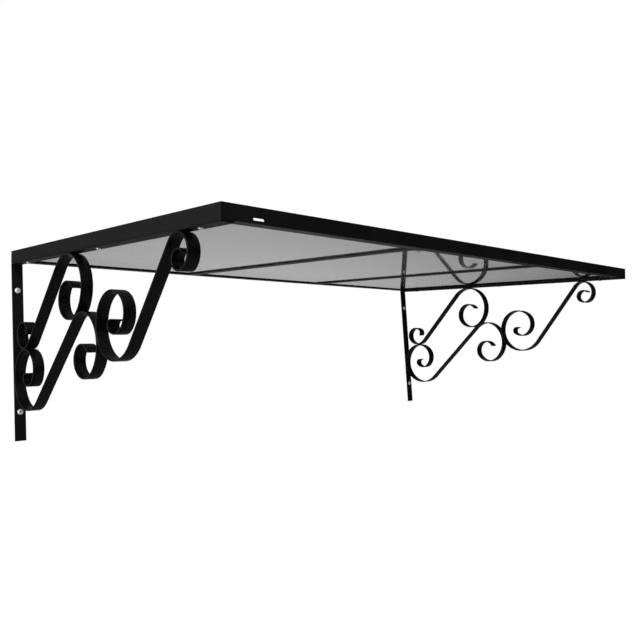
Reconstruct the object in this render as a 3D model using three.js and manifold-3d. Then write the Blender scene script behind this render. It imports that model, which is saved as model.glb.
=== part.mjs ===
// Wall-mounted door canopy: a shallow steel tray of angle bar that carries one smoked sheet,
// held by two flat-bar brackets whose scrolls are wound from arcs of falling radius.
// Millimetres. X runs along the wall, -Y away from it, +Z up. The origin is on the wall plane,
// at mid width, level with the lower rear edge of the tray.
import * as THREE from 'three';
import { mergeVertices } from 'three/addons/utils/BufferGeometryUtils.js';
import Module from 'manifold-3d';

const wasm = await Module();
wasm.setup();

// Tray: outer size along the wall and down the slope, and how far it tips towards the front
const canopyWidth = 1750;
const canopyDepth = 1000;
const tiltDegrees = 4.9;

// Steel angle of the tray, and the flat bars that carry the sheet between its long sides
const angleLeg = 32;
const angleLedge = 30;
const angleThickness = 3;
const rafterWidth = 30;
const rafterThickness = 3;
const bayCount = 3;

// Smoked sheet lying in the tray
const sheetThickness = 4;
const sheetEdgeClearance = 2;

// Drain slots through the front leg, just above the sheet
const drainLength = 28;
const drainHeight = 5;
const drainEndInset = 87;
const drainSeatHeight = 6.4;

// Flat bar of the brackets, and the wall bar's length below the tray
const barWidth = 30;
const barThickness = 4;
const bracketHeight = 500;
const wallHoleInset = 80;

// Fixings: bolts up through the tray, screws into the wall
const boltInset = 85;
const boltDiameter = 6;
const boltHeadDiameter = 11;
const boltHeadHeight = 3.2;
const boltSocketWidth = 4;
const boltSocketDepth = 1.8;
const boltEndLength = 2;
const boltHoleDiameter = 7;
const washerDiameter = 14;
const washerThickness = 1.4;
const nutWidth = 10;
const nutHeight = 5;
const screwDiameter = 8;
const screwHeadDiameter = 16;
const screwHeadHeight = 4.5;
const screwSocketWidth = 5;
const screwSocketDepth = 2.4;
const screwHoleDiameter = 9;

// Clearances: between welded or seated faces, and round a shank in its nut
const seatGap = 0.3;
const threadGap = 0.2;

// Each scroll is a slanted straight between two volutes. A volute is a chain of quarter turns,
// listed from the straight inwards; its turn says where the last quarter is cut.
const rearUpperScroll = {
  reach: 108.3,
  slopeDegrees: 43.4,
  straight: 256,
  lower: { radii: [46.6, 33.3, 33.5, 16.5], turnDegrees: 358 },
  upper: { radii: [82.3, 84.3, 62.3, 45.3, 40.7, 37.8], turnDegrees: 463 },
};
const rearLowerScroll = {
  slopeDegrees: 39.8,
  lower: { radii: [90.2, 82.4, 64.3, 47.9, 35.7, 12.7], turnDegrees: 584 },
  upper: { radii: [73.8, 83.1, 57.1, 37, 36.7], turnDegrees: 464 },
};
const frontScroll = {
  slopeDegrees: 48.6,
  straight: 256,
  lower: { radii: [85.2, 79.8, 66.7, 47.5, 42.3, 12.7], turnDegrees: 599 },
  upper: { radii: [37, 40.3, 28.6, 20.2, 21.7], turnDegrees: 456 },
};
const arcStepDegrees = 7.5;
const roundSegments = 20;

const tilt = THREE.MathUtils.degToRad(tiltDegrees);
const quarterTurn = Math.PI / 2;

// Finishes
const trayPaint = new THREE.MeshStandardMaterial({ color: 0x232425, roughness: 0.55, metalness: 0.1 });
const bracketPaint = new THREE.MeshStandardMaterial({ color: 0x161617, roughness: 0.42, metalness: 0.1 });
const smokedSheet = new THREE.MeshStandardMaterial({
  color: 0x3c3e40, roughness: 0.08, metalness: 0, transparent: true, opacity: 0.85,
});
const zincPlate = new THREE.MeshStandardMaterial({ color: 0xc9ccce, roughness: 0.35, metalness: 0.9 });

const canopy = new THREE.Group();
const tray = new THREE.Group();
tray.rotation.x = tilt;
canopy.add(tray);

function addPiece(parent, name, geometry, material) {
  const mesh = new THREE.Mesh(geometry, material);
  mesh.name = name;
  parent.add(mesh);
  return mesh;
}

// Solids that are cut
function toSolid(geometry) {
  const bare = geometry.clone();
  bare.deleteAttribute('normal');
  bare.deleteAttribute('uv');
  const merged = mergeVertices(bare, 1e-4);
  return new wasm.Manifold(new wasm.Mesh({
    numProp: 3,
    vertProperties: new Float32Array(merged.attributes.position.array),
    triVerts: new Uint32Array(merged.index.array),
  }));
}

function toGeometry(solid) {
  const mesh = solid.getMesh();
  const geometry = new THREE.BufferGeometry();
  geometry.setAttribute('position', new THREE.BufferAttribute(mesh.vertProperties, 3));
  geometry.setIndex(new THREE.BufferAttribute(mesh.triVerts, 1));
  return geometry;
}

function cutAway(geometry, cutters) {
  let solid = toSolid(geometry);
  for (const cutter of cutters) {
    solid = solid.subtract(toSolid(cutter));
  }
  return toGeometry(solid);
}

function circlePoints(x, y, radius, segments = roundSegments) {
  return Array.from({ length: segments }, (_, i) => {
    const angle = (i / segments) * 2 * Math.PI;
    return new THREE.Vector2(x + radius * Math.cos(angle), y + radius * Math.sin(angle));
  });
}

// A flat plate from corner to corner, pierced by round holes, lying on z = 0
function piercedPlate(xMin, xMax, yMin, yMax, thickness, holes, holeDiameter) {
  const outline = new THREE.Shape([
    new THREE.Vector2(xMin, yMin),
    new THREE.Vector2(xMax, yMin),
    new THREE.Vector2(xMax, yMax),
    new THREE.Vector2(xMin, yMax),
  ]);
  for (const [x, y] of holes) {
    outline.holes.push(new THREE.Path(circlePoints(x, y, holeDiameter / 2)));
  }
  return new THREE.ExtrudeGeometry(outline, { depth: thickness, bevelEnabled: false });
}

// Bolts stand on the bracket bars' centre line, the same distance from both ends of each side
const boltRows = { rear: boltInset, middle: canopyDepth / 2, front: canopyDepth - boltInset };
const sides = { left: -1, right: 1 };
const boltOffset = canopyWidth / 2 - barWidth / 2;

// Tray rails: an L section run along x with its ends mitred at 45 degrees. y is the distance
// inwards from the outer face, z the height above the underside.
function angleRail(length, cutters = []) {
  const section = new THREE.Shape([
    new THREE.Vector2(0, 0),
    new THREE.Vector2(angleLedge, 0),
    new THREE.Vector2(angleLedge, angleThickness),
    new THREE.Vector2(angleThickness, angleThickness),
    new THREE.Vector2(angleThickness, angleLeg),
    new THREE.Vector2(0, angleLeg),
  ]);
  const geometry = new THREE.ExtrudeGeometry(section, { depth: length, bevelEnabled: false });
  geometry.applyMatrix4(new THREE.Matrix4().makeBasis(
    new THREE.Vector3(0, 1, 0),
    new THREE.Vector3(0, 0, 1),
    new THREE.Vector3(1, 0, 0),
  ));
  geometry.translate(-length / 2, 0, 0);
  const position = geometry.attributes.position;
  for (let i = 0; i < position.count; i += 1) {
    const drawnIn = position.getY(i) + seatGap * Math.SQRT1_2;
    position.setX(i, position.getX(i) - Math.sign(position.getX(i)) * drawnIn);
  }
  return cutAway(geometry, cutters);
}

function drainCutter(x) {
  const half = drainLength / 2 - drainHeight / 2;
  const slot = new THREE.Shape();
  slot.absarc(half, 0, drainHeight / 2, -quarterTurn, quarterTurn, false);
  slot.absarc(-half, 0, drainHeight / 2, quarterTurn, 3 * quarterTurn, false);
  const cutter = new THREE.ExtrudeGeometry(slot, {
    depth: 3 * angleThickness, bevelEnabled: false, curveSegments: 5,
  });
  cutter.rotateX(quarterTurn);
  return cutter.translate(x, 2 * angleThickness, drainSeatHeight + drainHeight / 2);
}

function ledgeHoleCutter(x) {
  const cutter = new THREE.CylinderGeometry(
    boltHoleDiameter / 2, boltHoleDiameter / 2, 3 * angleThickness, roundSegments,
  );
  cutter.rotateX(quarterTurn);
  return cutter.translate(x, barWidth / 2, angleThickness / 2);
}

const drainOffset = canopyWidth / 2 - drainEndInset;
const frontRail = angleRail(canopyWidth, [drainCutter(-drainOffset), drainCutter(drainOffset)]);
addPiece(tray, 'front_rail', frontRail, trayPaint).position.set(0, -canopyDepth, 0);

addPiece(tray, 'wall_rail', angleRail(canopyWidth), trayPaint).rotation.z = Math.PI;

const ledgeHoles = Object.values(boltRows).map((row) => ledgeHoleCutter(row - canopyDepth / 2));
for (const [side, sign] of Object.entries(sides)) {
  const rail = addPiece(tray, `${side}_rail`, angleRail(canopyDepth, ledgeHoles), trayPaint);
  rail.position.set(sign * canopyWidth / 2, -canopyDepth / 2, 0);
  rail.rotation.z = sign * quarterTurn;
}

// Rafters: flat bars welded flush between the ledges of the wall rail and the front rail
const rafterEnd = angleLedge + seatGap;
for (let i = 1; i < bayCount; i += 1) {
  const x = -canopyWidth / 2 + (i * canopyWidth) / bayCount;
  const rafter = piercedPlate(
    x - rafterWidth / 2, x + rafterWidth / 2, rafterEnd - canopyDepth, -rafterEnd,
    rafterThickness, [], 0,
  );
  addPiece(tray, `rafter_${i}`, rafter, trayPaint);
}

// Sheet, dropped into the tray and held down by the side bolts
const sheetInset = angleThickness + sheetEdgeClearance;
const sheetHeight = angleThickness + seatGap;
const sheetHoles = Object.values(boltRows).flatMap((row) => [[-boltOffset, -row], [boltOffset, -row]]);
const sheet = piercedPlate(
  sheetInset - canopyWidth / 2, canopyWidth / 2 - sheetInset,
  sheetInset - canopyDepth, -sheetInset,
  sheetThickness, sheetHoles, boltHoleDiameter,
);
addPiece(tray, 'roof_sheet', sheet, smokedSheet).position.z = sheetHeight;

// Bracket bars: one under each side of the tray, one down the wall
const topBarTop = -seatGap;
const topBarUnderside = topBarTop - barThickness;
const topBarRearEnd = barThickness * Math.tan(tilt) + seatGap;
const wallBarTop = topBarUnderside * Math.cos(tilt) - barThickness * Math.sin(tilt) - seatGap;
const upperHole = -wallHoleInset;
const lowerHole = wallHoleInset - bracketHeight;

for (const [side, sign] of Object.entries(sides)) {
  const inner = boltOffset - barWidth / 2;
  const outer = boltOffset + barWidth / 2;
  const xMin = Math.min(sign * inner, sign * outer);
  const xMax = Math.max(sign * inner, sign * outer);

  const topBar = piercedPlate(
    xMin, xMax, -canopyDepth, -topBarRearEnd, barThickness,
    Object.values(boltRows).map((row) => [sign * boltOffset, -row]), boltHoleDiameter,
  );
  addPiece(tray, `top_bar_${side}`, topBar, bracketPaint).position.z = topBarUnderside;

  const wallBar = piercedPlate(
    xMin, xMax, -bracketHeight, wallBarTop, barThickness,
    [[sign * boltOffset, upperHole], [sign * boltOffset, lowerHole]], screwHoleDiameter,
  );
  addPiece(canopy, `wall_bar_${side}`, wallBar, bracketPaint).rotation.x = quarterTurn;
}

// Scrollwork, drawn in the bracket's own plane: x is the reach from the wall, y the height
function windVolute(start, heading, { radii, turnDegrees }) {
  const arcs = [];
  const point = start.clone();
  let direction = heading;
  let left = THREE.MathUtils.degToRad(turnDegrees);
  for (let i = 0; left > 1e-9; i += 1) {
    const radius = radii[Math.min(i, radii.length - 1)];
    const sweep = Math.min(quarterTurn, left);
    const center = new THREE.Vector2(
      point.x + radius * Math.sin(direction), point.y - radius * Math.cos(direction),
    );
    arcs.push({ center, radius, from: direction + quarterTurn, sweep });
    direction -= sweep;
    left -= sweep;
    point.set(center.x - radius * Math.sin(direction), center.y + radius * Math.cos(direction));
  }
  return arcs;
}

// Points along a volute from the straight inwards, moved off its centre line by an offset
function volutePoints(arcs, offset) {
  return arcs.flatMap(({ center, radius, from, sweep }, index) => {
    const steps = Math.max(2, Math.ceil(THREE.MathUtils.radToDeg(sweep) / arcStepDegrees));
    const first = index === 0 ? 0 : 1;
    return Array.from({ length: steps + 1 - first }, (_, i) => {
      const angle = from - (sweep * (i + first)) / steps;
      return new THREE.Vector2(
        center.x + (radius + offset) * Math.cos(angle), center.y + (radius + offset) * Math.sin(angle),
      );
    });
  });
}

// One side of a scroll from its lower tip to its upper tip. Both volutes wind clockwise from the
// straight, so a side that lies outside one of them lies inside the other.
function scrollSide(scroll, offset) {
  const slope = THREE.MathUtils.degToRad(scroll.slopeDegrees);
  const rise = new THREE.Vector2(Math.cos(slope), Math.sin(slope)).multiplyScalar(scroll.straight);
  const lower = windVolute(scroll.start, slope + Math.PI, scroll.lower);
  const upper = windVolute(scroll.start.clone().add(rise), slope, scroll.upper);
  return [...volutePoints(lower, -offset).reverse(), ...volutePoints(upper, offset)];
}

function distanceToSegment(p, a, b) {
  const run = b.clone().sub(a);
  const along = THREE.MathUtils.clamp(p.clone().sub(a).dot(run) / run.lengthSq(), 0, 1);
  return p.distanceTo(run.multiplyScalar(along).add(a));
}

function distanceBetween(pathA, pathB) {
  let nearest = Infinity;
  for (const [points, path] of [[pathA, pathB], [pathB, pathA]]) {
    for (const p of points) {
      for (let i = 1; i < path.length; i += 1) {
        nearest = Math.min(nearest, distanceToSegment(p, path[i - 1], path[i]));
      }
    }
  }
  return nearest;
}

// The largest value up to which a scroll can be pushed before it meets its neighbour
function pushUntilMeeting(gapAt, from, step) {
  const touching = barThickness + seatGap;
  let clear = from;
  while (gapAt(clear + step) > touching) {
    clear += step;
    if (clear > canopyDepth) {
      throw new Error('these scrolls never meet');
    }
  }
  let part = step;
  for (let i = 0; i < 14; i += 1) {
    part /= 2;
    if (gapAt(clear + part) > touching) {
      clear += part;
    }
  }
  return clear;
}

const lineToWall = barThickness + seatGap + barThickness / 2;
const lineToTray = topBarUnderside - seatGap - barThickness / 2;
const alongTray = new THREE.Vector2(Math.cos(tilt), -Math.sin(tilt));

function heightUnderTray(point) {
  return point.x * Math.sin(tilt) + point.y * Math.cos(tilt);
}

function moveAgainstWall(scroll) {
  const nearest = Math.min(...scrollSide(scroll, 0).map((p) => p.x));
  scroll.start.x += lineToWall - nearest;
}

function moveUnderTray(scroll) {
  const highest = Math.max(...scrollSide(scroll, 0).map(heightUnderTray));
  scroll.start.y += (lineToTray - highest) / Math.cos(tilt);
}

function movedBy(path, shift) {
  return path.map((p) => p.clone().add(shift));
}

// The rear upper scroll hangs under the top bar and its hook stands clear of the wall bar
rearUpperScroll.start = new THREE.Vector2(rearUpperScroll.reach, 0);
moveUnderTray(rearUpperScroll);
const rearUpperPath = scrollSide(rearUpperScroll, 0);

// The rear lower scroll stands against the wall bar and is pushed up to the scroll above. Its
// straight is as long as it takes for its upper volute to meet that scroll a second time.
rearLowerScroll.start = new THREE.Vector2(0, -bracketHeight);
rearLowerScroll.straight = 0;
moveAgainstWall(rearLowerScroll);
const rearLowerSlope = THREE.MathUtils.degToRad(rearLowerScroll.slopeDegrees);
const lowerVolute = volutePoints(
  windVolute(rearLowerScroll.start, rearLowerSlope + Math.PI, rearLowerScroll.lower), 0,
);
const hook = rearUpperPath.filter((p) => p.x < rearUpperScroll.start.x + rearUpperScroll.straight / 2);
rearLowerScroll.start.y += pushUntilMeeting(
  (up) => distanceBetween(movedBy(lowerVolute, new THREE.Vector2(0, up)), hook), 0, 4,
);
rearLowerScroll.straight = pushUntilMeeting((straight) => {
  const path = scrollSide({ ...rearLowerScroll, straight }, 0);
  return distanceBetween(path.slice(lowerVolute.length), rearUpperPath);
}, rearLowerScroll.lower.radii[0], 4);
const rearLowerPath = scrollSide(rearLowerScroll, 0);

// The front scroll hangs under the top bar and is pushed back until it meets the rear lower one
frontScroll.start = new THREE.Vector2(canopyDepth, 0);
moveUnderTray(frontScroll);
const frontPath = scrollSide(frontScroll, 0);
const pushedBack = pushUntilMeeting(
  (back) => distanceBetween(movedBy(frontPath, alongTray.clone().multiplyScalar(-back)), rearLowerPath),
  0, 4,
);
frontScroll.start.addScaledVector(alongTray, -pushedBack);

// A scroll's strip, extruded across the bar width and turned so that its reach runs along -Y
function scrollStrip(scroll) {
  const outline = [
    ...scrollSide(scroll, barThickness / 2),
    ...scrollSide(scroll, -barThickness / 2).reverse(),
  ].map((p) => new THREE.Vector2(-p.x, p.y));
  const strip = new THREE.ExtrudeGeometry(new THREE.Shape(outline), {
    depth: barWidth, bevelEnabled: false,
  });
  return strip.applyMatrix4(new THREE.Matrix4().makeBasis(
    new THREE.Vector3(0, 1, 0),
    new THREE.Vector3(0, 0, 1),
    new THREE.Vector3(1, 0, 0),
  ));
}

const scrolls = {
  rear_upper_scroll: rearUpperScroll,
  rear_lower_scroll: rearLowerScroll,
  front_scroll: frontScroll,
};
for (const [name, scroll] of Object.entries(scrolls)) {
  const strip = scrollStrip(scroll);
  for (const [side, sign] of Object.entries(sides)) {
    const piece = addPiece(canopy, `${name}_${side}`, strip.clone(), bracketPaint);
    piece.position.x = sign * boltOffset - barWidth / 2;
  }
}

// Fixings: a domed head with a hexagonal socket on a plain shank. The head's flat underside is
// at z = 0 and the shank runs up +Z.
function domedFixing(headDiameter, headHeight, socketWidth, socketDepth, shankDiameter, shankLength) {
  const headRadius = headDiameter / 2;
  const rim = headHeight / 4;
  const profile = [new THREE.Vector2(0, -headHeight)];
  const domeSteps = 5;
  for (let i = 1; i <= domeSteps; i += 1) {
    const angle = (i / domeSteps) * quarterTurn;
    profile.push(new THREE.Vector2(
      headRadius * Math.sin(angle), -rim - (headHeight - rim) * Math.cos(angle),
    ));
  }
  profile.push(new THREE.Vector2(headRadius, 0));
  profile.push(new THREE.Vector2(shankDiameter / 2, 0));
  profile.push(new THREE.Vector2(shankDiameter / 2, shankLength));
  profile.push(new THREE.Vector2(0, shankLength));
  const body = new THREE.LatheGeometry(profile, roundSegments);
  body.rotateX(quarterTurn);
  const socketRadius = socketWidth / Math.sqrt(3);
  const socket = new THREE.CylinderGeometry(socketRadius, socketRadius, 2 * socketDepth, 6);
  socket.rotateX(quarterTurn);
  socket.translate(0, 0, -headHeight);
  return cutAway(body, [socket]);
}

function ring(outline, holeDiameter, thickness) {
  const shape = new THREE.Shape(outline);
  shape.holes.push(new THREE.Path(circlePoints(0, 0, holeDiameter / 2)));
  return new THREE.ExtrudeGeometry(shape, { depth: thickness, bevelEnabled: false });
}

const boltSeat = topBarUnderside - seatGap;
const washerSeat = sheetHeight + sheetThickness + seatGap;
const nutSeat = washerSeat + washerThickness + seatGap;
const boltLength = nutSeat + nutHeight + boltEndLength - boltSeat;
const nutBore = boltDiameter + 2 * threadGap;

for (const [side, sign] of Object.entries(sides)) {
  for (const [row, distance] of Object.entries(boltRows)) {
    const bolt = domedFixing(
      boltHeadDiameter, boltHeadHeight, boltSocketWidth, boltSocketDepth, boltDiameter, boltLength,
    );
    const washer = ring(circlePoints(0, 0, washerDiameter / 2), nutBore, washerThickness);
    const nut = ring(circlePoints(0, 0, nutWidth / Math.sqrt(3), 6), nutBore, nutHeight);
    const heights = [[bolt, 'bolt', boltSeat], [washer, 'washer', washerSeat], [nut, 'nut', nutSeat]];
    for (const [geometry, kind, height] of heights) {
      const piece = addPiece(tray, `tray_${kind}_${side}_${row}`, geometry, zincPlate);
      piece.position.set(sign * boltOffset, -distance, height);
    }
  }

  for (const [level, height] of [['upper', upperHole], ['lower', lowerHole]]) {
    const screw = domedFixing(
      screwHeadDiameter, screwHeadHeight, screwSocketWidth, screwSocketDepth,
      screwDiameter, barThickness + seatGap,
    );
    const piece = addPiece(canopy, `wall_screw_${side}_${level}`, screw, zincPlate);
    piece.rotation.x = -quarterTurn;
    piece.position.set(sign * boltOffset, -barThickness - seatGap, height);
  }
}

export default canopy;
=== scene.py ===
import math

import bmesh
import bpy
from mathutils import Matrix, Vector


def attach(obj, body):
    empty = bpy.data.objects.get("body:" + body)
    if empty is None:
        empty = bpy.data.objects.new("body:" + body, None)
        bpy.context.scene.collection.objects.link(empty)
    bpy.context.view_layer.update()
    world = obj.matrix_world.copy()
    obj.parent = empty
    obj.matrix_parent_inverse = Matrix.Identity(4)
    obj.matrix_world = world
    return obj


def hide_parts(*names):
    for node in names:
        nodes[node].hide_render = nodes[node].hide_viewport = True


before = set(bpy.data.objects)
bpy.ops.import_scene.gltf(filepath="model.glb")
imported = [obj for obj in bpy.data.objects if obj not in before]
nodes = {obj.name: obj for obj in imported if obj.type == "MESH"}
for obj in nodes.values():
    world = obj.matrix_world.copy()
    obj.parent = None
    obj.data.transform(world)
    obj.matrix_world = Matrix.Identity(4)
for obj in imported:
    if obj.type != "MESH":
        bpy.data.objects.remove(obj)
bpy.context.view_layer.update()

scene = bpy.context.scene
scene.view_settings.view_transform = "Standard"
quarterTurn = math.pi / 2


# Sizes that several pieces share, in metres
barWidth = 0.030
barThickness = 0.004
angleThickness = 0.003
sheetThickness = 0.004
seatGap = 0.0003  # between a piece and what carries it
bracketOffset = 0.860  # the brackets' centre lines stand this far either side of the middle
tilt = math.radians(4.9)  # the tray's fall towards the front
trayMatrix = Matrix.Rotation(tilt, 4, "X")
sides = {"left": -1, "right": 1}


# Camera: solved from the straight edges of the photograph
camera = {
    "place": (-1.5947, -1.9722, -0.3789),
    "yaw": 44.229,
    "pitch": 4.911,
    "roll": -3.392,
    "lens": 38.70,
    "sensor": 36.0,
    "near": 0.05,
    "far": 200,
}


def makeCamera():
    yaw, pitch, roll = (math.radians(camera[k]) for k in ("yaw", "pitch", "roll"))
    look = Vector((math.sin(yaw) * math.cos(pitch), math.cos(yaw) * math.cos(pitch), math.sin(pitch)))
    level = Vector((math.cos(yaw), -math.sin(yaw), 0))
    upright = level.cross(look)
    right = math.cos(roll) * level + math.sin(roll) * upright
    up = math.cos(roll) * upright - math.sin(roll) * level
    data = bpy.data.cameras.new("camera")
    data.lens = camera["lens"]
    data.sensor_width = camera["sensor"]
    data.clip_start = camera["near"]
    data.clip_end = camera["far"]
    obj = bpy.data.objects.new("camera", data)
    scene.collection.objects.link(obj)
    turn = Matrix((right, up, -look)).transposed().to_4x4()
    obj.matrix_world = Matrix.Translation(camera["place"]) @ turn
    scene.camera = obj


makeCamera()
print("camera set")


# Node wiring: a socket that takes part in sums, and a graph that makes every node in one way
class Socket:
    def __init__(self, graph, end):
        self.graph = graph
        self.end = end

    def __add__(self, other):
        return self.graph.maths("ADD", self, other)

    def __radd__(self, other):
        return self.graph.maths("ADD", other, self)

    def __sub__(self, other):
        return self.graph.maths("SUBTRACT", self, other)

    def __rsub__(self, other):
        return self.graph.maths("SUBTRACT", other, self)

    def __mul__(self, other):
        return self.graph.maths("MULTIPLY", self, other)

    def __rmul__(self, other):
        return self.graph.maths("MULTIPLY", other, self)

    def smooth(self, low, high, toLow=0.0, toHigh=1.0):
        return self.graph.node("ShaderNodeMapRange", {"interpolation_type": "SMOOTHSTEP"}, {
            "Value": self, "From Min": low, "From Max": high, "To Min": toLow, "To Max": toHigh,
        })


class Graph:
    def __init__(self, tree):
        self.tree = tree

    def feed(self, target, value):
        if isinstance(value, Socket):
            self.tree.links.new(value.end, target)
        else:
            target.default_value = value

    def node(self, kind, settings, values, output=0):
        made = self.tree.nodes.new(kind)
        for name, setting in settings.items():
            setattr(made, name, setting)
        for key, value in values.items():
            self.feed(made.inputs[key], value)
        return Socket(self, made.outputs[output])

    def maths(self, operation, *values):
        return self.node("ShaderNodeMath", {"operation": operation}, dict(enumerate(values)))

    def noise(self, scale, detail, stretch=(1, 1, 1)):
        place = self.node("ShaderNodeTexCoord", {}, {}, "Object")
        place = self.node("ShaderNodeMapping", {}, {"Vector": place, "Scale": stretch})
        return self.node("ShaderNodeTexNoise", {}, {"Vector": place, "Scale": scale, "Detail": detail}, "Fac")

    def mix(self, factor, first, second):  # 0, 6, 7 and 2 are the colour mode's own sockets
        return self.node("ShaderNodeMix", {"data_type": "RGBA"}, {0: factor, 6: first, 7: second}, 2)

    def bump(self, height, strength, distance):
        return self.node("ShaderNodeBump", {}, {"Height": height, "Strength": strength, "Distance": distance})

    def ray(self, kind):
        return self.node("ShaderNodeLightPath", {}, {}, "Is %s Ray" % kind)

    def straightRay(self):  # seen by the camera, through the sheet or not
        return self.maths("MAXIMUM", self.ray("Camera"), self.ray("Transmission"))


def gray(value, warm=0.0):
    return (value * (1 + warm), value, value * (1 - warm), 1)


def makeMaterial(name, recipe, look):
    material = bpy.data.materials.new(name)
    material.use_nodes = True
    g = Graph(material.node_tree)
    sockets = g.tree.nodes["Principled BSDF"].inputs
    for key, value in recipe(g, look).items():
        g.feed(sockets[key], value)
    return material


# Powder coats: near black, in soft clouds, with a little dust and a fine orange peel
coats = {
    "tray_paint": {"dark": 0.0042, "light": 0.0062, "roughness": 0.5, "specular": 0.22},
    "bar_paint": {"dark": 0.003, "light": 0.005, "roughness": 0.6, "specular": 0.2},
    "bracket_paint": {"dark": 0.0018, "light": 0.003, "roughness": 0.26, "specular": 0.35},
}
coatTexture = {
    "cloud": (9, 3), "grain": (2600, 1), "peel": (900, 2), "dust": (420, 4),  # noises: scale and detail
    "toneBand": (0.3, 0.7), "roughBand": (0.25, 0.75), "dustBand": (0.62, 0.8),
    "roughSpread": 0.05, "grainRoughness": 0.06,
    "dustShare": 0.25, "dustTone": 2.2, "dustWarmth": 0.03,
    "grainHeight": 0.7, "peelHeight": 0.6, "bump": (0.15, 0.0002),
}


def powderCoat(g, coat):
    look = coatTexture
    cloud = g.noise(*look["cloud"])
    grain = g.noise(*look["grain"])
    dust = g.noise(*look["dust"]).smooth(*look["dustBand"])
    speck = gray(coat["light"] * look["dustTone"], look["dustWarmth"])
    tone = g.mix(cloud.smooth(*look["toneBand"]), gray(coat["dark"]), gray(coat["light"]))
    spread = (coat["roughness"] - look["roughSpread"], coat["roughness"] + look["roughSpread"])
    height = grain * look["grainHeight"] + g.noise(*look["peel"]) * look["peelHeight"]
    return {
        "Base Color": g.mix(dust * look["dustShare"], tone, speck),
        "Roughness": cloud.smooth(*look["roughBand"], *spread) + grain * look["grainRoughness"],
        "Specular IOR Level": coat["specular"],
        "Normal": g.bump(height, *look["bump"]),
    }


# Smoked sheet: slightly wavy, with wipe marks drawn out from front to back
smoke = {
    "cloud": (3, 2), "wave": (2.2, 1), "wipes": (30, 3, (1, 0.08, 1)),
    "tones": (gray(0.115, -0.01), gray(0.13, -0.01)),
    "wipeBand": (0.3, 0.75), "roughness": (0.02, 0.045),
    "bump": (0.25, 0.0012), "ior": 1.5,
}


def smokedSheet(g, look):
    return {
        "Base Color": g.mix(g.noise(*look["cloud"]), *look["tones"]),
        "Roughness": g.noise(*look["wipes"]).smooth(*look["wipeBand"], *look["roughness"]),
        "IOR": look["ior"],
        "Transmission Weight": 1.0,
        "Normal": g.bump(g.noise(*look["wave"]), *look["bump"]),
    }


# Zinc plating: pale and dull, in fine clouds
plating = {
    "cloud": (300, 3), "grain": (2500, 2),
    "tones": (gray(0.70, 0.01), gray(0.82, -0.01)), "toneBand": (0.3, 0.7),
    "roughBand": (0.2, 0.8), "roughness": (0.34, 0.48),
    "metallic": 0.4, "bump": (0.2, 0.00008),
}


def zincPlate(g, look):
    cloud = g.noise(*look["cloud"])
    return {
        "Base Color": g.mix(cloud.smooth(*look["toneBand"]), *look["tones"]),
        "Roughness": cloud.smooth(*look["roughBand"], *look["roughness"]),
        "Metallic": look["metallic"],
        "Normal": g.bump(g.noise(*look["grain"]), *look["bump"]),
    }


trayPaint, barPaint, bracketPaint = (makeMaterial(name, powderCoat, coat) for name, coat in coats.items())
sheetSmoke = makeMaterial("smoked_sheet", smokedSheet, smoke)
zinc = makeMaterial("zinc_plate", zincPlate, plating)
print("materials made")


# Rails, rafters, bars and sheet keep their CAD nodes, with the arris taken off each edge
keptPieces = {
    "tray": {
        "names": ["front_rail", "wall_rail", "left_rail", "right_rail", "rafter_1", "rafter_2"],
        "material": trayPaint, "arris": 0.0005,
    },
    "bars": {
        "names": ["%s_%s" % (bar, side) for bar in ("top_bar", "wall_bar") for side in sides],
        "material": barPaint, "arris": 0.0005,
    },
    "sheet": {"names": ["roof_sheet"], "material": sheetSmoke, "arris": 0.0003},
}
arrisShape = {"segments": 2, "leastAngle": 40}


def dressNode(obj, material, arris):
    for slot in obj.material_slots:
        slot.link = "OBJECT"
        slot.material = material
    bevel = obj.modifiers.new("arris", "BEVEL")
    bevel.width = arris
    bevel.segments = arrisShape["segments"]
    bevel.limit_method = "ANGLE"
    bevel.angle_limit = math.radians(arrisShape["leastAngle"])


for piece in keptPieces.values():
    for name in piece["names"]:
        dressNode(nodes[name], piece["material"], piece["arris"])
print("rails, bars and sheet dressed")


# Pieces made here: soft over shallow edges, crisp over the others, each in place of one CAD node
weldDistance = 0.000001


def smoothByAngle(mesh, degrees):
    work = bmesh.new()
    work.from_mesh(mesh)
    bmesh.ops.remove_doubles(work, verts=work.verts, dist=weldDistance)
    bmesh.ops.recalc_face_normals(work, faces=work.faces)
    for face in work.faces:
        face.smooth = True
    for edge in work.edges:
        if len(edge.link_faces) == 2:
            edge.smooth = edge.calc_face_angle() < math.radians(degrees)
    work.to_mesh(mesh)
    work.free()


def addMesh(name, mesh, material, replaced):
    obj = bpy.data.objects.new(name, mesh)
    scene.collection.objects.link(obj)
    mesh.materials.clear()
    mesh.materials.append(material)
    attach(obj, "root")
    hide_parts(*replaced)


# Scrolls: a slanted straight between two volutes wound from quarter turns, in the bracket's plane.
# Places are reach from the wall and height, and a volute is its quarters' radii and its total turn.
scrolls = {
    "rear_upper_scroll": {
        "start": (0.1083, -0.23526), "slope": 43.4, "straight": 0.256,
        "lower": ((0.0466, 0.0333, 0.0335, 0.0165), 358),
        "upper": ((0.0823, 0.0843, 0.0623, 0.0453, 0.0407, 0.0378), 463),
    },
    "rear_lower_scroll": {
        "start": (0.15236, -0.39474), "slope": 39.8, "straight": 0.29527,
        "lower": ((0.0902, 0.0824, 0.0643, 0.0479, 0.0357, 0.0127), 584),
        "upper": ((0.0738, 0.0831, 0.0571, 0.0370, 0.0367), 464),
    },
    "front_scroll": {
        "start": (0.64966, -0.28390), "slope": 48.6, "straight": 0.256,
        "lower": ((0.0852, 0.0798, 0.0667, 0.0475, 0.0423, 0.0127), 599),
        "upper": ((0.0370, 0.0403, 0.0286, 0.0202, 0.0217), 456),
    },
}
scrollBar = {"arris": 0.0006, "arrisSteps": 3, "smoothBelow": 50, "straightSteps": 12, "windStep": 3}


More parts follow.
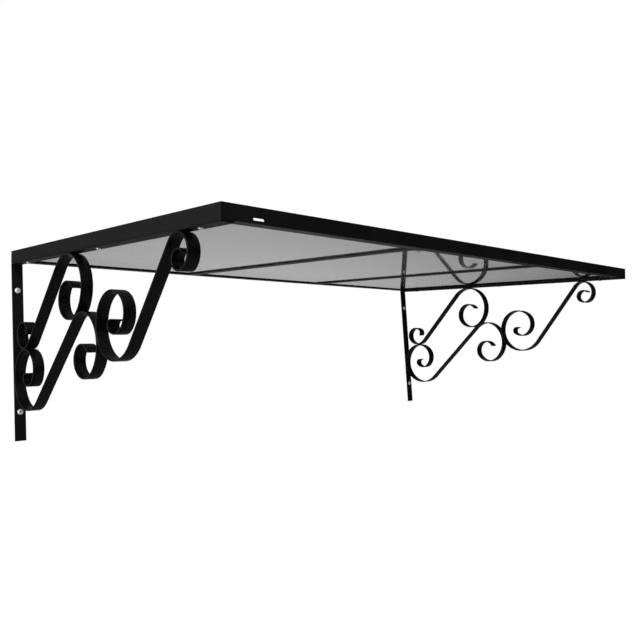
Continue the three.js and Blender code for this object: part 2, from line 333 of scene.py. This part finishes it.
def windVolute(start, heading, radii, turn):  # clockwise, and the last radius holds to the end
    points = []
    x, y = start
    left = turn
    quarter = 0
    while left > 0:
        radius = radii[min(quarter, len(radii) - 1)]
        sweep = min(quarterTurn, left)
        middleX, middleY = x + radius * math.sin(heading), y - radius * math.cos(heading)
        count = math.ceil(sweep / math.radians(scrollBar["windStep"]))
        for i in range(1, count + 1):
            h = heading - sweep * i / count
            points.append((middleX - radius * math.sin(h), middleY + radius * math.cos(h)))
        x, y = points[-1]
        heading -= sweep
        left -= sweep
        quarter += 1
    return points


def centreLine(scroll):
    slope = math.radians(scroll["slope"])
    (lowerRadii, lowerTurn), (upperRadii, upperTurn) = scroll["lower"], scroll["upper"]
    x, y = scroll["start"]
    across = scroll["straight"] * math.cos(slope)
    rise = scroll["straight"] * math.sin(slope)
    steps = scrollBar["straightSteps"]
    lower = windVolute((x, y), slope + math.pi, lowerRadii, math.radians(lowerTurn))
    upper = windVolute((x + across, y + rise), slope, upperRadii, math.radians(upperTurn))
    straight = [(x + across * i / steps, y + rise * i / steps) for i in range(steps + 1)]
    return lower[::-1] + straight + upper


def sweepTree():
    tree = bpy.data.node_groups.new("bar_sweep", "GeometryNodeTree")
    face = tree.interface
    face.new_socket("Path", in_out="INPUT", socket_type="NodeSocketGeometry")
    for name in ("Width", "Thickness", "Arris"):
        face.new_socket(name, in_out="INPUT", socket_type="NodeSocketFloat")
    face.new_socket("Material", in_out="INPUT", socket_type="NodeSocketMaterial")
    face.new_socket("Mesh", in_out="OUTPUT", socket_type="NodeSocketGeometry")
    g = Graph(tree)

    def given(name):
        return g.node("NodeGroupInput", {}, {}, name)

    path = g.node("GeometryNodeMeshToCurve", {}, {"Mesh": given("Path")})
    path = g.node("GeometryNodeSetCurveNormal", {"mode": "Z_UP"}, {"Curve": path})
    section = g.node("GeometryNodeCurvePrimitiveQuadrilateral", {}, {
        "Width": given("Thickness"), "Height": given("Width"),
    })
    section = g.node("GeometryNodeFilletCurve", {"mode": "POLY"}, {
        "Curve": section, "Radius": given("Arris"), "Count": scrollBar["arrisSteps"],
    })
    bar = g.node("GeometryNodeCurveToMesh", {}, {"Curve": path, "Profile Curve": section, "Fill Caps": True})
    bar = g.node("GeometryNodeRealizeInstances", {}, {"Geometry": bar})
    bar = g.node("GeometryNodeSetMaterial", {}, {"Geometry": bar, "Material": given("Material")})
    g.feed(tree.nodes.new("NodeGroupOutput").inputs["Mesh"], bar)
    return tree


sweepBar = sweepTree()


def sweptMesh(name, points):
    path = bpy.data.meshes.new(name + "_path")
    path.from_pydata([(x, y, 0) for x, y in points], [(i, i + 1) for i in range(len(points) - 1)], [])
    obj = bpy.data.objects.new(name + "_path", path)
    scene.collection.objects.link(obj)
    modifier = obj.modifiers.new("sweep", "NODES")
    modifier.node_group = sweepBar
    values = {
        "Width": barWidth, "Thickness": barThickness, "Arris": scrollBar["arris"], "Material": bracketPaint,
    }
    for item in sweepBar.interface.items_tree:
        if item.name in values:
            modifier[item.identifier] = values[item.name]
    shown = obj.evaluated_get(bpy.context.evaluated_depsgraph_get())
    mesh = bpy.data.meshes.new_from_object(shown)
    mesh.name = name
    bpy.data.objects.remove(obj)
    return mesh


def bracketPlane(sign):  # reach runs away from the wall, and the bar's width lies across it
    return Matrix((
        (0, 0, 1, sign * bracketOffset),
        (-1, 0, 0, 0),
        (0, 1, 0, 0),
        (0, 0, 0, 1),
    ))


for name, scroll in scrolls.items():
    points = centreLine(scroll)
    for side, sign in sides.items():
        mesh = sweptMesh(name, points)
        mesh.transform(bracketPlane(sign))
        smoothByAngle(mesh, scrollBar["smoothBelow"])
        node = name + "_" + side
        addMesh("wound_" + node, mesh, bracketPaint, [node])
print("scrolls swept")


# Fixings: rings round the z axis, head down, with the seat at z = 0
roundSteps = 48
domeSteps = 12
fixingSmooth = 35


def addRing(work, reachAt, heightAt):
    ring = []
    for k in range(roundSteps):
        turn = 2 * math.pi * k / roundSteps
        reach = reachAt(turn)
        ring.append(work.verts.new((reach * math.cos(turn), reach * math.sin(turn), heightAt(reach))))
    return ring


def roundRing(work, radius, z):
    return addRing(work, lambda turn: radius, lambda reach: z)


def hexRing(work, width, heightAt):
    sector = math.pi / 3
    return addRing(work, lambda turn: width / 2 / math.cos(turn % sector - sector / 2), heightAt)


def pole(work, z):
    return [work.verts.new((0, 0, z))]


def joinedMesh(name, work, rings):
    for a, b in zip(rings, rings[1:]):
        for k in range(roundSteps):
            j = k + 1
            corners = [a[k % len(a)], a[j % len(a)], b[j % len(b)], b[k % len(b)]]
            work.faces.new(list(dict.fromkeys(corners)))  # a pole's corners fall together
    mesh = bpy.data.meshes.new(name)
    work.to_mesh(mesh)
    work.free()
    return mesh


sheetTop = angleThickness + seatGap + sheetThickness
topBarUnderside = -seatGap - barThickness
washer = {"width": 0.014, "bore": 0.0064, "height": 0.0014, "softEdge": 0.00025, "seat": sheetTop + seatGap}
nut = {
    "width": 0.010, "bore": 0.0064, "height": 0.005, "faceShare": 0.96, "chamfer": 0.00018, "crown": 0.6,
    "seat": washer["seat"] + washer["height"] + seatGap,
}
bolt = {
    "head": 0.011, "height": 0.0032, "socket": 0.004, "depth": 0.0018, "shank": 0.006, "proud": 0.002,
    "seat": topBarUnderside - seatGap,
}
bolt["length"] = nut["seat"] + nut["height"] + bolt["proud"] - bolt["seat"]
screw = {
    "head": 0.016, "height": 0.0045, "socket": 0.005, "depth": 0.0024, "shank": 0.008,
    "length": barThickness + seatGap,
}
headShape = {"rimShare": 0.25, "softEdge": 0.0002, "socketMargin": 1.12, "socketStep": 0.00005}
boltRows = {"rear": 0.085, "middle": 0.5, "front": 0.915}
screwRows = {"upper": -0.080, "lower": -0.420}


def domedFixing(name, size):
    radius, shank, height = size["head"] / 2, size["shank"] / 2, size["height"]
    soft, rim = headShape["softEdge"], height * headShape["rimShare"]
    profile = [(shank, size["length"]), (shank, 0), (radius - soft, 0), (radius, -soft)]
    socketCorner = size["socket"] / math.sqrt(3)
    for i in range(domeSteps + 1):
        angle = quarterTurn * (1 - i / domeSteps)
        reach = radius * math.sin(angle)
        if reach > socketCorner * headShape["socketMargin"]:
            profile.append((reach, -rim - (height - rim) * math.cos(angle)))
    mouth = profile[-1][1] - headShape["socketStep"]
    bottom = mouth + size["depth"]
    work = bmesh.new()
    rings = [pole(work, size["length"])]
    rings += [roundRing(work, reach, z) for reach, z in profile]
    rings += [hexRing(work, size["socket"], lambda reach: z) for z in (mouth, bottom)]
    rings.append(pole(work, bottom))
    return joinedMesh(name, work, rings)


def washerMesh(name, size):
    outer, inner, high, soft = size["width"] / 2, size["bore"] / 2, size["height"], size["softEdge"]
    profile = [
        (inner, 0), (outer - soft, 0), (outer, soft),
        (outer, high - soft), (outer - soft, high), (inner, high),
    ]
    work = bmesh.new()
    rings = [roundRing(work, reach, z) for reach, z in profile]
    return joinedMesh(name, work, rings + rings[:1])


def nutMesh(name, size):
    flat, inner, high = size["width"] / 2, size["bore"] / 2, size["height"]
    face = flat * size["faceShare"]

    def crown(reach):  # the chamfer cuts deeper towards the corners
        return size["chamfer"] + (reach - flat) * size["crown"]

    work = bmesh.new()
    rings = [
        roundRing(work, inner, 0),
        roundRing(work, face, 0),
        hexRing(work, size["width"], crown),
        hexRing(work, size["width"], lambda reach: high - crown(reach)),
        roundRing(work, face, high),
        roundRing(work, inner, high),
    ]
    return joinedMesh(name, work, rings + rings[:1])


def addFixing(node, mesh, place):
    mesh.transform(place)
    smoothByAngle(mesh, fixingSmooth)
    addMesh("fine_" + node, mesh, zinc, [node])


stack = {"bolt": (domedFixing, bolt), "washer": (washerMesh, washer), "nut": (nutMesh, nut)}
headToFront = Matrix.Rotation(-quarterTurn, 4, "X")
for side, sign in sides.items():
    for row, reach in boltRows.items():
        for kind, (make, size) in stack.items():
            node = "tray_%s_%s_%s" % (kind, side, row)
            place = Matrix.Translation((sign * bracketOffset, -reach, size["seat"]))
            addFixing(node, make(node, size), trayMatrix @ place)
    for row, height in screwRows.items():
        node = "wall_screw_%s_%s" % (side, row)
        place = Matrix.Translation((sign * bracketOffset, -screw["length"], height))
        addFixing(node, domedFixing(node, screw), place @ headToFront)
print("fixings made")


# Stage: a floor far below and an even world. Both look white straight on, and in reflections
# the floor is dark and the world shows two soft bright patches.
stage = {
    "skyLight": 0.55,
    "mirrorBase": 0.02,
    "patches": [
        {"towards": (0.571, 0.816, -0.087), "sharpness": 6, "strength": 0.63},
        {"towards": (-0.75, 0.62, 0.2), "sharpness": 3, "strength": 0.20},
    ],
}
floor = {
    "height": -2.9, "radius": 7, "steps": 96,
    "tone": 0.62, "mirroredTone": 0.15, "glow": 0.69, "roughness": 0.9,
}
lamps = {
    "key": {"place": (-2.6, -3.4, 3.2), "aim": (0, -0.5, -0.2), "size": 2.4, "power": 90},
    "side": {"place": (-4.4, -0.9, -0.1), "aim": (0, -0.5, -0.1), "size": 3.4, "power": 110},
}


def makeWorld():
    world = bpy.data.worlds.new("studio")
    world.use_nodes = True
    scene.world = world
    g = Graph(world.node_tree)
    direction = g.node("ShaderNodeTexCoord", {}, {}, "Generated")
    mirrored = stage["mirrorBase"]
    for patch in stage["patches"]:
        facing = g.node("ShaderNodeVectorMath", {"operation": "DOT_PRODUCT"}, {
            0: direction, 1: patch["towards"],
        }, "Value")
        lobe = g.maths("POWER", g.maths("MAXIMUM", facing, 0), patch["sharpness"])
        mirrored = mirrored + lobe * patch["strength"]
    glossy, straight = g.ray("Glossy"), g.straightRay()
    onPiece = glossy * mirrored + (1 - glossy) * stage["skyLight"]
    back = g.tree.nodes["Background"].inputs
    g.feed(back["Color"], gray(1))
    g.feed(back["Strength"], straight + (1 - straight) * onPiece)


def floorLook(g, look):
    return {
        "Base Color": g.mix(g.ray("Glossy"), gray(look["tone"]), gray(look["mirroredTone"])),
        "Roughness": look["roughness"],
        "Specular IOR Level": 0.0,
        "Emission Color": gray(1),
        "Emission Strength": g.straightRay() * look["glow"],
    }


def makeFloor():
    work = bmesh.new()
    bmesh.ops.create_circle(work, cap_ends=True, radius=floor["radius"], segments=floor["steps"])
    mesh = bpy.data.meshes.new("floor")
    work.to_mesh(mesh)
    work.free()
    mesh.materials.append(makeMaterial("floor", floorLook, floor))
    obj = bpy.data.objects.new("floor", mesh)
    obj.location = (0, 0, floor["height"])
    scene.collection.objects.link(obj)


def makeLamp(name, lamp):
    data = bpy.data.lights.new(name, "AREA")
    data.size = lamp["size"]
    data.energy = lamp["power"]
    obj = bpy.data.objects.new(name, data)
    obj.location = lamp["place"]
    aim = Vector(lamp["aim"]) - Vector(lamp["place"])
    obj.rotation_mode = "QUATERNION"
    obj.rotation_quaternion = aim.to_track_quat("-Z", "Y")
    scene.collection.objects.link(obj)


makeWorld()
makeFloor()
for name, lamp in lamps.items():
    makeLamp(name, lamp)
print("stage set")
